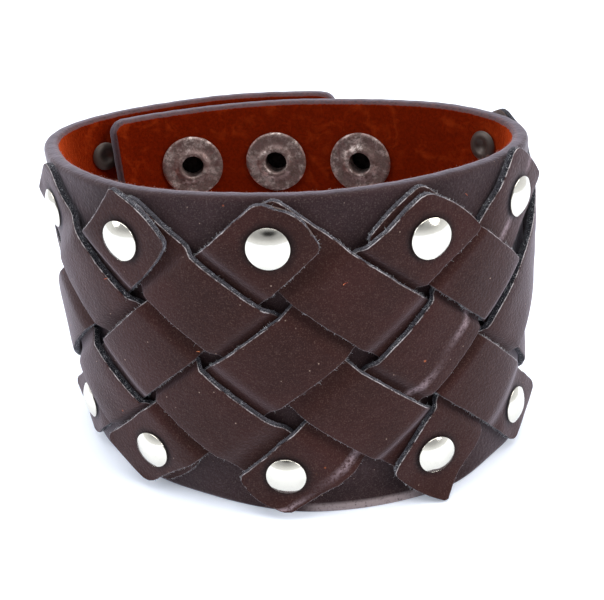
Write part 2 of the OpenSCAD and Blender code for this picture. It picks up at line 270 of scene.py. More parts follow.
# Slow uneven waves: the mean of a few sines, each with a direction, a phase and a length of its
# own, which is a share of the length asked for
def unevenness(x, y, length, seed):
    local = np.random.default_rng(seed)
    total = 0
    for k in range(uneven["waves"]):
        angle, phase = local.uniform(0, 2 * math.pi, 2)
        wave = length * local.uniform(*uneven["lengths"])
        way = x * math.cos(angle) + y * math.sin(angle)
        total = total + np.sin(2 * math.pi * way / wave + phase)
    return total / uneven["waves"]


# A profile of (radius, height) points turned round the third axis of a seat, a ring of points for
# each of them
def turned(profile, along, height, depth, segments):
    profile = np.asarray(profile, float)
    angle = np.linspace(0, 2 * math.pi, segments, endpoint=False)
    middle, axes = seatAt(along, height)
    r, h = profile[:, :1], profile[:, 1:] + depth
    local = np.stack([r * np.cos(angle), r * np.sin(angle), h + 0 * angle], -1).reshape(-1, 3)
    return middle + local @ axes * mm


# Quads between neighbouring rings. A closed profile joins its last ring to its first, and an open
# one has a flat cap on both.
def turnedFaces(rings, segments, closed):
    j = np.arange(segments)
    k = (j + 1) % segments
    faces = []
    for i in range(rings if closed else rings - 1):
        n = (i + 1) % rings
        here, there = i * segments, n * segments
        faces.extend(np.stack([here + j, here + k, there + k, there + j], -1))
    if not closed:
        faces.append(j[::-1])
        faces.append((rings - 1) * segments + j)
    return faces


# Shader maths

# A node's output. Sums, differences, products and quotients of wires add Math nodes.
class Wire:
    def __init__(self, sheet, socket):
        self.sheet = sheet
        self.socket = socket

    def math(self, operation, *others):
        values = dict(enumerate((self, *others)))
        return self.sheet.add("ShaderNodeMath", {"operation": operation}, values)

    def __add__(self, other):
        return self.math("ADD", other)

    def __radd__(self, other):
        return self.math("ADD", other)

    def __sub__(self, other):
        return self.math("SUBTRACT", other)

    def __rsub__(self, other):
        return self.sheet.add("ShaderNodeMath", {"operation": "SUBTRACT"}, {0: other, 1: self})

    def __mul__(self, other):
        return self.math("MULTIPLY", other)

    def __rmul__(self, other):
        return self.math("MULTIPLY", other)

    def __truediv__(self, other):
        return self.math("DIVIDE", other)

    # 0 below low, 1 above high, smooth between
    def between(self, low, high):
        return self.sheet.add("ShaderNodeMapRange", {"interpolation_type": "SMOOTHSTEP"},
                              {0: self, 1: low, 2: high, 3: 0.0, 4: 1.0})


# The nodes of one material, or of the world. Sizes and distances are in millimetres.
class Sheet:
    def __init__(self, owner, place="Object"):
        self.owner = owner
        owner.use_nodes = True
        self.tree = owner.node_tree
        self.tree.nodes.clear()
        self.place = self.add("ShaderNodeTexCoord", out=place)

    # Any node: its type, its settings, the values or wires of its sockets, and its output
    def add(self, kind, settings=None, sockets=None, out=0):
        node = self.tree.nodes.new(kind)
        for key, value in (settings or {}).items():
            setattr(node, key, value)
        for key, value in (sockets or {}).items():
            if isinstance(value, Wire):
                self.tree.links.new(value.socket, node.inputs[key])
            elif isinstance(value, tuple) and len(value) == 3 and node.inputs[key].type == "RGBA":
                node.inputs[key].default_value = (*value, 1.0)
            else:
                node.inputs[key].default_value = value
        return Wire(self, node.outputs[out])

    def dot(self, first, second):
        return self.add("ShaderNodeVectorMath", {"operation": "DOT_PRODUCT"}, {0: first, 1: second},
                        out="Value")

    # From the first colour at 0 to the second at 1
    def mix(self, factor, first, second):
        return self.add("ShaderNodeMix", {"data_type": "RGBA"}, {0: factor, 6: first, 7: second},
                        out=2)

    def noise(self, size, detail=3.0, roughness=0.55, place=None, distortion=0.0):
        return self.add("ShaderNodeTexNoise", None,
                        {"Vector": place or self.place, "Scale": 1 / (size * mm), "Detail": detail,
                         "Roughness": roughness, "Distortion": distortion})

    def cells(self, size, feature="F1", place=None):
        return self.add("ShaderNodeTexVoronoi", {"feature": feature},
                        {"Vector": place or self.place, "Scale": 1 / (size * mm)})

    def value(self, name):
        return self.add("ShaderNodeAttribute", {"attribute_name": name}, out="Fac")

    def bump(self, height, distance):
        return self.add("ShaderNodeBump", None, {"Height": height, "Distance": distance * mm})

    # The main shader; a socket's name is written with underscores
    def shader(self, **sockets):
        names = {key.replace("_", " "): value for key, value in sockets.items()}
        return self.add("ShaderNodeBsdfPrincipled", None, names)

    # Joins a shader to the material's output
    def close(self, shader):
        output = self.tree.nodes.new("ShaderNodeOutputMaterial")
        self.tree.links.new(shader.socket, output.inputs["Surface"])
        return self.owner

    # A material of the main shader alone
    def finish(self, **sockets):
        return self.close(self.shader(**sockets))


def materialSheet(name):
    return Sheet(bpy.data.materials.new(name))


# Leather

# What the leather of the straps and of the band share. Sizes are in millimetres.
leather = {
    "grain": 0.42,
    "grainDepth": 0.09,
    "saltSize": 0.20,
    "roughness": 0.52,
    "specular": 0.075,
    "sheenRoughness": 0.39,
    "sheenTint": (0.92, 0.86, 0.98, 1.0),
    "speck": (0.42, 0.30, 0.24),
}
strapLook = {
    "colour": (0.0232, 0.0064, 0.0043),
    "red": (0.0298, 0.0081, 0.0062),
    "dark": (0.0160, 0.0050, 0.0036),
    "patch": (0.070, 0.036, 0.034),
    "salt": (0.088, 0.048, 0.038),
    "pepper": (0.014, 0.006, 0.006),
    "orange": (0.34, 0.09, 0.03),
    "toneSize": 9,
    "hueSize": 14,
    "patchSize": 1.1,
    "sheen": 0.34,
    "cutDark": (0.0045, 0.0050, 0.0070),
    "cutFibre": (0.20, 0.22, 0.24),
    "fibreSize": 0.20,
    "backDark": (0.10, 0.07, 0.06),
    "backLight": (0.16, 0.12, 0.10),
    # the light line of scuffs on the edges, stronger on up-facing ones as a painted highlight
    "scuffHighlightColour": (0.50, 0.46, 0.46),
    "scuffWidth": 0.15,
    # a painted shadow round the rivets' caps
    "capShadow": (0.006, 0.004, 0.004),
    "crease": (0.25, 0.185, 0.20),
}
bandLook = {
    "colour": (0.0280, 0.0126, 0.0136),
    "dark": (0.0170, 0.0080, 0.0088),
    "patch": (0.070, 0.045, 0.048),
    "salt": (0.090, 0.064, 0.054),
    "pepper": (0.014, 0.008, 0.008),
    "red": (0.36, 0.08, 0.03),
    "toneSize": 9,
    "patchSize": 1.3,
    "sheen": 0.50,
    "grainShare": 1.15,
    # a painted reflection of the floor along the lower edge of the front
    "floorGlint": (0.235, 0.190, 0.190),
    "crumbSize": 0.40,
    "paint": (0.053, 0.038, 0.049),
    "paintDark": (0.026, 0.018, 0.0225),
    "paintSize": 2.2,
    "paintBorder": (0.105, 0.046, 0.042),
}
suede = {
    "dark": (0.080, 0.0040, 0.0004),
    "mid": (0.130, 0.0070, 0.0004),
    "bright": (0.380, 0.045, 0.0080),
    "sheen": 0.78,
    "sheenRoughness": 0.5,
    "sheenTint": (1.0, 0.15, 0.035, 1.0),
    "nap": 0.55,
    "napDepth": 0.14,
    "brushSize": 3.6,
    "brushDepth": 0.1,
}


# Grain is a field of small cells with a finer and a broader noise over it
def grainHeight(sheet, size):
    pebbles = sheet.cells(size, "SMOOTH_F1")
    fine = sheet.noise(size * 0.5, 2.0, 0.6)
    broad = sheet.noise(size * 7, 3.0, 0.5)
    return pebbles * 0.55 + fine * 0.35 + broad * 0.5


# Dust is a spot at the middle of each cell, where a second noise lets it show. The shift moves the
# pattern, so that two kinds of dust fall in different places.
def dustMask(sheet, size, share, shift):
    moved = sheet.add("ShaderNodeVectorMath", {"operation": "ADD"}, {0: sheet.place, 1: shift})
    spots = sheet.cells(size, place=moved)
    allow = sheet.noise(size * 2.2, 1.0, place=moved)
    return (1 - spots.between(0.03, 0.09)) * allow.between(1 - share, 1 - share + 0.05)


# The mottle of well-used leather: paler patches, then light grains where a fine noise runs high
# and dark ones where it runs low
def mottled(sheet, face, patch, look):
    face = sheet.mix(patch.between(0.5, 0.85) * 0.25, face, look["patch"])
    salt = sheet.noise(leather["saltSize"], 2.0, 0.85)
    face = sheet.mix(salt.between(0.52, 0.72) * 0.7, face, look["salt"])
    return sheet.mix((1 - salt.between(0.30, 0.46)) * 0.5, face, look["pepper"])


# Attributes of the straps: layer 0 is the grain face, 1 the cut wall, 2 the back; edge is the
# distance from the edge; wear is how much of the light line of scuffs an edge shows, most where
# the edge faces up, real scuffs with a painted highlight; crease marks the pressed line; shade is
# a painted shadow round the rivets' caps
def strapLeather():
    sheet = materialSheet("strapLeather")
    edge, layer = sheet.value("edge"), sheet.value("layer")
    scuffAndHighlight, crease = sheet.value("scuffAndHighlight"), sheet.value("crease")
    tone = sheet.noise(strapLook["toneSize"], 3.0, 0.55)
    hue = sheet.noise(strapLook["hueSize"], 2.0, 0.5)
    patch = sheet.noise(strapLook["patchSize"], 3.0, 0.6)
    face = sheet.mix(hue.between(0.35, 0.65), strapLook["colour"], strapLook["red"])
    face = sheet.mix(tone.between(0.35, 0.75) * 0.6, face, strapLook["dark"])
    face = mottled(sheet, face, patch, strapLook)
    # Scuffs run along the edges in short broken light lines, stronger on edges that face up: real
    # scuffs with a painted highlight
    jitter = sheet.noise(0.22, 3.0, 0.75)
    breaks = sheet.noise(1.6, 4.0, 0.75)
    width = strapLook["scuffWidth"]
    line = 1 - (edge + jitter * width * 1.6).between(width, width * 2)
    face = sheet.mix(line * breaks.between(0.36, 0.62) * scuffAndHighlight, face, strapLook["scuffHighlightColour"])
    pressed = crease * sheet.noise(0.45, 3.0, 0.75).between(0.30, 0.60)
    face = sheet.mix(pressed, face, strapLook["crease"])
    # A painted shadow darkens the leather round the rivets' caps
    face = sheet.mix(sheet.value("shade") * 0.7, face, strapLook["capShadow"])
    dust = dustMask(sheet, 1.6, 0.46, (0.01, 0.02, 0.03))
    face = sheet.mix(dust * 0.75, face, leather["speck"])
    orange = dustMask(sheet, 2.9, 0.40, (0.05, 0.01, 0.02))
    face = sheet.mix(orange * 0.8, face, strapLook["orange"])
    fibres = sheet.noise(strapLook["fibreSize"], 4.0, 0.8)
    cut = sheet.mix(fibres.between(0.52, 0.72) * 0.75, strapLook["cutDark"], strapLook["cutFibre"])
    back = sheet.mix(sheet.noise(0.5, 3.0), strapLook["backDark"], strapLook["backLight"])
    body = sheet.mix(layer.between(0.45, 0.55), face, cut)
    body = sheet.mix(layer.between(1.45, 1.55), body, back)
    isCut = layer.between(0.4, 0.6)
    height = grainHeight(sheet, leather["grain"]) + fibres * isCut * 3
    rough = leather["roughness"] + tone * 0.10 + isCut * 0.4 + patch * 0.06
    return sheet.finish(Base_Color=body, Roughness=rough,
                        Normal=sheet.bump(height, leather["grainDepth"]),
                        Specular_IOR_Level=leather["specular"], Sheen_Weight=strapLook["sheen"],
                        Sheen_Roughness=leather["sheenRoughness"], Sheen_Tint=leather["sheenTint"])


# Attributes of the band: layer 0 is the grain face, 1 the painted rim, 2 the brushed inner face,
# and worn marks a light strip along the lower edge of the front, a painted reflection of the floor.
# Crumbs of noise break the borders between them.
def bandLeather():
    sheet = materialSheet("bandLeather")
    layer, floorGlint = sheet.value("layer"), sheet.value("floorGlint")
    tone = sheet.noise(bandLook["toneSize"], 4.0, 0.6)
    patch = sheet.noise(bandLook["patchSize"], 3.0, 0.6)
    face = sheet.mix(tone.between(0.3, 0.75), bandLook["colour"], bandLook["dark"])
    face = mottled(sheet, face, patch, bandLook)
    dust = dustMask(sheet, 1.3, 0.50, (0.03, 0.0, 0.01))
    face = sheet.mix(dust * 0.7, face, leather["speck"])
    red = dustMask(sheet, 2.6, 0.40, (0.0, 0.04, 0.02))
    face = sheet.mix(red * 0.8, face, bandLook["red"])
    cloud = sheet.noise(bandLook["paintSize"], 3.0, 0.6)
    painted = sheet.mix(cloud.between(0.3, 0.7), bandLook["paintDark"], bandLook["paint"])
    crumbs = sheet.noise(bandLook["crumbSize"], 3.0, 0.7)
    nap = sheet.noise(suede["nap"], 4.0, 0.65, distortion=0.4)
    brushed = sheet.noise(suede["brushSize"], 3.0, 0.6, distortion=0.8)
    inside = sheet.mix(nap.between(0.3, 0.72), suede["dark"], suede["mid"])
    inside = sheet.mix(brushed.between(0.50, 0.80) * 0.40, inside, suede["bright"])
    border = layer + crumbs * 0.30
    isSuede = border.between(1.66, 1.78)
    isPaint = border.between(0.95, 1.25)
    fuzz = border.between(1.50, 1.62) * (1 - isSuede)
    # A light strip along the front's lower edge, broken by crumbs of noise: a painted reflection of
    # the floor
    floorGlintMask = floorGlint * crumbs.between(0.20, 0.50) * (1 - isSuede)
    body = sheet.mix(isPaint, face, painted)
    body = sheet.mix(fuzz * 0.8, body, bandLook["paintBorder"])
    body = sheet.mix(floorGlintMask, body, bandLook["floorGlint"])
    grain = grainHeight(sheet, leather["grain"] * bandLook["grainShare"])
    height = sheet.add("ShaderNodeMix", {"data_type": "FLOAT"},
                       {0: isSuede, 2: grain * leather["grainDepth"],
                        3: nap * suede["napDepth"] + brushed * suede["brushDepth"]})
    rough = leather["roughness"] + tone * 0.1 - isPaint * 0.05
    relief = sheet.bump(height, 1.0)
    smoothSide = sheet.shader(Base_Color=body, Roughness=rough, Normal=relief,
                              Specular_IOR_Level=leather["specular"],
                              Sheen_Weight=bandLook["sheen"],
                              Sheen_Roughness=leather["sheenRoughness"],
                              Sheen_Tint=leather["sheenTint"])
    brushedSide = sheet.shader(Base_Color=inside, Roughness=1.0, Normal=relief,
                               Specular_IOR_Level=0.0, Sheen_Weight=suede["sheen"],
                               Sheen_Roughness=suede["sheenRoughness"],
                               Sheen_Tint=suede["sheenTint"])
    return sheet.close(sheet.add("ShaderNodeMixShader", None,
                                 {0: isSuede, 1: smoothSide, 2: brushedSide}))


# Fibres from dark to light along a slow noise
def fibreMaterial(name, light, dark):
    sheet = materialSheet(name)
    tint = sheet.noise(0.8, 2.0)
    return sheet.finish(Base_Color=sheet.mix(tint.between(0.35, 0.65), dark, light), Roughness=0.8,
                        Specular_IOR_Level=0.2)


metal = {
    "bright": (0.70, 0.675, 0.595),
    "aged": (0.28, 0.20, 0.185),
    "agedLight": (0.66, 0.575, 0.535),
    "grime": (0.10, 0.060, 0.050),
    "hazy": (0.58, 0.55, 0.475),
    # dark for the rings under a cap's edge, a painted shadow, and for a rivet's back
    "shadowAndDull": (0.05, 0.035, 0.030),
    # near black: a painted shade for a part at the bottom of a hole
    "deep": (0.012, 0.010, 0.010),
    "mark": (0.45, 0.40, 0.37),
}


# Bright plating: smooth, a little hazy, with a few dull marks and fine pits. The attribute dull
# says how dark and matt it is: 1 under a cap's edge, where the dark is a painted shadow, and less
# on a rivet's inner side.
def brightPlating():
    sheet = materialSheet("brightNickel")
    dull = sheet.value("dull")
    smear = sheet.noise(2.4, 3.0, 0.6)
    marks = sheet.cells(0.9)
    spots = (1 - marks.between(0.05, 0.10)) * sheet.noise(2.0, 2.0).between(0.5, 0.6)
    haze = sheet.noise(1.3, 4.0, 0.65)
    body = sheet.mix(haze.between(0.40, 0.75) * 0.35, metal["bright"], metal["hazy"])
    body = sheet.mix(spots * 0.5, body, metal["mark"])
    # Painted shadow: the rings under a cap's edge turn dark, and a rivet's back nearly as dark
    body = sheet.mix(dull, body, metal["shadowAndDull"])
    rough = 0.09 + smear * 0.09 + spots * 0.2 + dull * 0.35
    relief = sheet.bump(smear + marks.between(0.05, 0.16) * 0.05, 0.014)
    return sheet.finish(Base_Color=body, Metallic=1 - dull * 0.4, Roughness=rough, Normal=relief)


# Worn plating: mottled, matt, light where rubbing has thinned it and brown where it is dirty. The
# attribute deep is 1 where a part lies at the bottom of a hole, which turns it near black: a
# painted shade.
def wornPlating():
    sheet = materialSheet("wornNickel")
    deep = sheet.value("deep")
    cloud = sheet.noise(0.9, 4.0, 0.75)
    blotch = sheet.noise(2.0, 3.0, 0.65)
    body = sheet.mix(blotch.between(0.46, 0.64), metal["aged"], metal["agedLight"])
    dirt = cloud.between(0.42, 0.60)
    body = sheet.mix(dirt * 0.9, body, metal["grime"])
    # Painted shade: near black where a part lies at the bottom of a hole
    body = sheet.mix(deep, body, metal["deep"])
    rough = 0.42 + cloud * 0.2 + dirt * 0.25
    return sheet.finish(Base_Color=body, Metallic=1 - dirt * 0.75, Roughness=rough,
                        Normal=sheet.bump(cloud * 0.8 + blotch, 0.09))


strapSkin = strapLeather()
bandSkin = bandLeather()
paleFibre = fibreMaterial("paleFibre", light=(0.74, 0.76, 0.78), dark=(0.13, 0.13, 0.14))
rustFibre = fibreMaterial("rustFibre", light=(0.50, 0.26, 0.22), dark=(0.20, 0.07, 0.05))
lintFibre = fibreMaterial("lintFibre", light=(0.80, 0.26, 0.10), dark=(0.42, 0.05, 0.03))
brightNickel = brightPlating()
wornNickel = wornPlating()
print("materials made")


# Band

# The fine distances are those of the grid's rows nearest to an edge. Each unevenness has a height
# and a length.
band = {
    "thickness": 2.4,
    "ends": (-106, 136.4),
    "corner": 2.7,
    "step": 0.9,
    "fine": (0, 0.08, 0.20, 0.40, 0.65, 1.0, 1.5, 2.7),
    "round": 0.75,
    "painted": 0.75,
    "rimReach": 0.6,
    "wave": 0.16,
    "waveLength": 23,
    "ripple": 0.05,
    "rippleLength": 3.1,
    "billow": 0.07,
    "billowLength": 14,
    "billowFrom": 3,  # how far from an edge the billow has its full height
    "holeRadius": 2.8,
    "swelling": 0.52,
    "swellingAt": (52.5, 33.0),
    "swellingRadius": 6.0,
    # Where the light strip along the front's lower edge lies: a painted reflection of the floor
    "glintFrom": (4, 8),
    "glintTo": (21, 25),
    "glintHeight": 1.5,
    "glintFade": 0.5,
}

# Rivets and snaps, where the frame has them. The inner end of the band and the rest of it are
# searched apart, in small steps, because they overlap.
rivetCount = 7
spareColumn = 3
stretches = {"inner": (60, band["ends"][1], 0.05), "outer": (band["ends"][0], 80, 0.05)}
topRivets = [placeOf(f"rivet_top_{k}") for k in range(rivetCount)]
bottomRivets = [placeOf(f"rivet_bottom_{k}") for k in range(rivetCount)]
posts = {(row, k): placeOf(f"snap_post_{row}_{k}", "inner")
         for row in ("upper", "lower") for k in range(1, spareColumn + 1)}


# How much a rounded corner of radius r takes off at a distance from the end
def cornerCut(distance, r):
    d = np.clip(distance, 0, r)
    return r - np.sqrt(np.maximum(0, r * r - (r - d) ** 2))


# Both faces of the band on one grid of along and height, with rounded edges joined by a painted
# rim. Its upper edge waves, both faces billow a little away from the edges, and the outer one
# swells under the last strap on the right by the square of one less the distance squared.
def buildBand():
    first, last = band["ends"]
    s = first + edgeRows(last - first, band["fine"], band["step"])
    across = edgeRows(oval["height"], band["fine"], band["step"])
    sGrid = np.repeat(s[:, None], len(across), 1)
    fraction = across / oval["height"]
    cut = cornerCut(np.minimum(s - first, last - s), band["corner"])[:, None]
    low, high = cut, oval["height"] - cut + extraAt(s)[:, None]
    wave = unevenness(sGrid, 0 * sGrid, band["waveLength"], seeds["wave"])
    ripple = unevenness(sGrid, 0 * sGrid, band["rippleLength"], seeds["ripple"])
    wobble = band["wave"] * wave * fraction ** 4 + band["ripple"] * ripple * fraction ** 20
    zGrid = low + (high - low) * fraction + wobble
    toLong = np.minimum(zGrid - low, high + wobble - zGrid)
    toEnd = np.minimum(sGrid - first, last - sGrid)
    toEdge = np.clip(np.minimum(toLong, toEnd), 0, None)
    drop = cornerCut(toEdge, band["round"])
    billow = band["billow"] * unevenness(sGrid, zGrid, band["billowLength"], seeds["billow"])
    billow = billow * np.clip(toEdge / band["billowFrom"], 0, 1)
    swellingS, swellingZ = band["swellingAt"]
    away = np.hypot(sGrid - swellingS, zGrid - swellingZ) / band["swellingRadius"]
    top = -drop + billow + band["swelling"] * np.clip(1 - away ** 2, 0, 1) ** 2
    bottom = -band["thickness"] + drop + billow
    middleS, middleZ = ((grid[:-1, :-1] + grid[1:, 1:]) / 2 for grid in (sGrid, zGrid))
    keep = np.ones(middleS.shape, bool)
    for along, height in posts.values():
        keep &= np.hypot(middleS - along, middleZ - height) > band["holeRadius"]
    points = slabPoints(sGrid, zGrid, top, bottom)
    faces = [q for group in slabFaces(*sGrid.shape, keep) for q in group]
    # The layer falls from 1 at the rim to 0 on the outer face, and rises to 2 on the inner one
    outer = 1 - np.clip(toEdge / band["rimReach"], 0, 1)
    inner = 2 - 0.6 * np.clip(1.35 - 0.85 * toEdge / band["painted"], 0, 1)
    # A light strip along the front's lower edge: a painted reflection of the floor
    floorGlint = ramp(sGrid, band["glintFrom"]) * (1 - ramp(sGrid, band["glintTo"]))
    floorGlint = floorGlint * np.clip((band["glintHeight"] - zGrid) / band["glintFade"], 0, 1)
    makePiece("bandBody", points, faces, bandSkin, ["band"],
              {"layer": slabValue(outer, inner), "floorGlint": slabValue(floorGlint, 0 * floorGlint)})


buildBand()
print("band made")


# Straps

strapSizes = {
    "width": 10.6,
    "thickness": 1.2,
    "gap": 0.12,
    "cover": 0.2,  # how far past a crossing's corners a strap stays level
    "loneFlat": 2.8,  # and past a rivet that it has for itself
    "step": 0.6,
    "stepAcross": 0.9,
    "fine": (0, 0.05, 0.12, 0.22, 0.40, 0.8, 1.7),
    "edge": 0.20,
    "edgeBelow": 0.3,  # how much less the back's edge is rounded, as a share
    "tabFrom": 3,  # how far before its rivet a tab begins to narrow and turn
    "crown": 0.12,
    "crownReach": 2.2,
    "dome": 0.22,
    "domeReach": 0.8,
    "curl": 0.25,
    "curlReach": 3.0,
    "bulgeReach": 3.5,
    "ragged": 0.10,
    "raggedLengths": (5, 1.3),
    "lumps": 0.06,
    "lumpLength": 7,
    "lumpFrom": 2,
    "dimple": 0.14,
    "dimpleRadius": 4.4,
    "shadeRadii": (3.0, 3.9),
    "lowest": 0.05,
}
weaveStep = 2  # how many rivets along its bottom rivet lies
crossings = 2 * weaveStep  # the last of the straps that it meets shares that rivet

# Past its rivet a stiff tab runs straight on, while the leather under it bends away: where that
# begins, and its share, in a lone tab, the upper of two and the lower of two
flatTabs = {"lone": (-5, 1, 1.0), "upper": (-7, -2, 1.0), "lower": (0, 3, 0.25)}

# Each strap: its top rivet, then pairs for its top and bottom tabs: how far they reach past the
# rivet, how far their ends are turned aside, how much narrower they are, how much their ends
# bulge, and their corner radius. Shift is how far the strap lies to the right of its straight
# line at the top, the middle and the bottom.
strapRows = {
    "down1": {"rivet": 0, "reach": (4.8, 6.1)},
    "down2": {"rivet": 1, "reach": (6.2, 5.2), "shift": (0.4, -0.1, 0.4)},
    "down3": {"rivet": 2, "shift": (0.4, 0.5, 0.3)},
    "down4": {"rivet": 3, "reach": (5.1, 5.8), "shift": (0.3, 0.9, 0.3)},
    "down5": {"rivet": 4, "reach": (6.3, 5.0), "shift": (0, -0.2, 0), "bulge": (0.2, 0.6)},
    "up1": {"rivet": 2, "reach": (6.2, 5.2), "shift": (0.5, 0.8, 0), "turn": (-1.5, 0),
            "bulge": (0.5, 0.6), "corner": (1.3, 1.7)},
    "up2": {"rivet": 3, "reach": (5.7, 6.2), "shift": (-0.2, 0.3, 0), "narrow": (0.2, 0),
            "bulge": (0.9, 0.6), "corner": (2.8, 1.7)},
    "up3": {"rivet": 4, "reach": (5.7, 7.6), "shift": (-0.1, -0.3, -0.5), "narrow": (0, 0.5)},
    "up4": {"rivet": 5, "reach": (6.0, 6.4), "shift": (-0.5, 1.5, 0.8), "narrow": (0, 0.9),
            "bulge": (0.6, 0.9), "corner": (1.7, 2.4)},
    "up5": {"rivet": 6, "reach": (4.8, 6.2), "shift": (0, -1.1, 0.5), "turn": (0, 0.2),
            "narrow": (0, 0.4), "corner": (1.7, 1.2)},
}
usualStrap = {"reach": (4.8, 5.0), "shift": (0, 0, 0), "turn": (0, 0), "narrow": (0, 0),
              "bulge": (0.6, 0.6), "corner": (1.7, 1.7)}

# Where a strap is pressed in: the line's place across the strap at its top and at its bottom
creased = {"strap": "up4", "at": (0.10, 0.78), "width": 0.27, "depth": 0.08}

# The weave's own sizes: the slope of a strap, a strap's rise over another and half a crossing
lastRivet, middleRivet = rivetCount - 1, rivetCount // 2
pitch = (topRivets[-1][0] - topRivets[0][0]) / lastRivet
slope = math.atan2(topRivets[middleRivet][1] - bottomRivets[middleRivet][1], weaveStep * pitch)
layerRise = strapSizes["thickness"] + strapSizes["gap"]
halfCrossing = strapSizes["width"] / 2 / math.sin(2 * slope) + strapSizes["cover"]


# A strap's own values over the usual ones
def rowOf(name):
    return {**usualStrap, **strapRows[name]}


# The number of the bottom rivet of the strap that starts at a top rivet
def footOf(kind, k):
    return k + weaveStep if kind == "down" else k - weaveStep


# The two ends of a strap's straight line, at its rivets
def lineOf(kind, k):
    return np.array(topRivets[k]), np.array(bottomRivets[footOf(kind, k)])


# Whether a strap of that kind has both its rivets
def isThere(kind, k):
    return 0 <= k <= lastRivet and 0 <= footOf(kind, k) <= lastRivet


# The name of the strap that starts at a top rivet
def nameOf(kind, k):
    return kind + str(k + 1 if kind == "down" else k - 1)


# Cross product of two flat vectors
def cross2(a, b):
    return a[0] * b[1] - a[1] * b[0]


# Parabola through three shifts, at the shares 0, a half and 1 of the strap's length
def shiftAt(row, share):
    top, middle, bottom = row["shift"]
    return (top * (1 - share) * (1 - 2 * share) + middle * 4 * share * (1 - share)
            + bottom * share * (2 * share - 1))


# Each strap meets up to five others: how far along it, whether it lies on top of them, and how
# far its level holds on both sides. It is known there and at its rivets.
def meetingsOf(kind, k):
    start, end = lineOf(kind, k)
    length = np.linalg.norm(end - start)
    direction = (end - start) / length
    other = "up" if kind == "down" else "down"
    meets = []
    for m in range(crossings + 1):
        j = k + m if kind == "down" else k - m
        if isThere(other, j):
            a, b = lineOf(other, j)
            over = m % 2 if kind == "down" else 1 - m % 2
            share = cross2(start - a, direction) / cross2(b - a, direction)
            moved = shiftAt(rowOf(nameOf(other, j)), share) * (1 if kind == "down" else -1)
            at = cross2(a - start, b - a) / cross2(direction, b - a) + moved
            meets.append((at, over, halfCrossing))
        elif m % crossings == 0:
            meets.append((length * m / crossings, 0, strapSizes["loneFlat"]))
    return meets


# How far a stiff tab stands off the bend of the band: the square of the way from its rivet over
# twice the band's radius there
def tabStand(sGrid, uGrid, kind, k, start, end, length):
    other = "up" if kind == "down" else "down"
    paired = "lower" if kind == "down" else "upper"
    last = k + crossings if kind == "down" else k - crossings
    total = np.zeros(sGrid.shape)
    for upper, rivet, j in ((True, start, k), (False, end, last)):
        lie = paired if isThere(other, j) else "lone"
        *limits, share = flatTabs[lie]
        past = -uGrid if upper else uGrid - length
        here = (uGrid < length / 2) if upper else (uGrid >= length / 2)
        bend = (sGrid - rivet[0]) ** 2 / (2 * ovalRadius(rivet[0]))
        total = total + np.where(here, share * ramp(past, limits) * bend, 0)
    return total


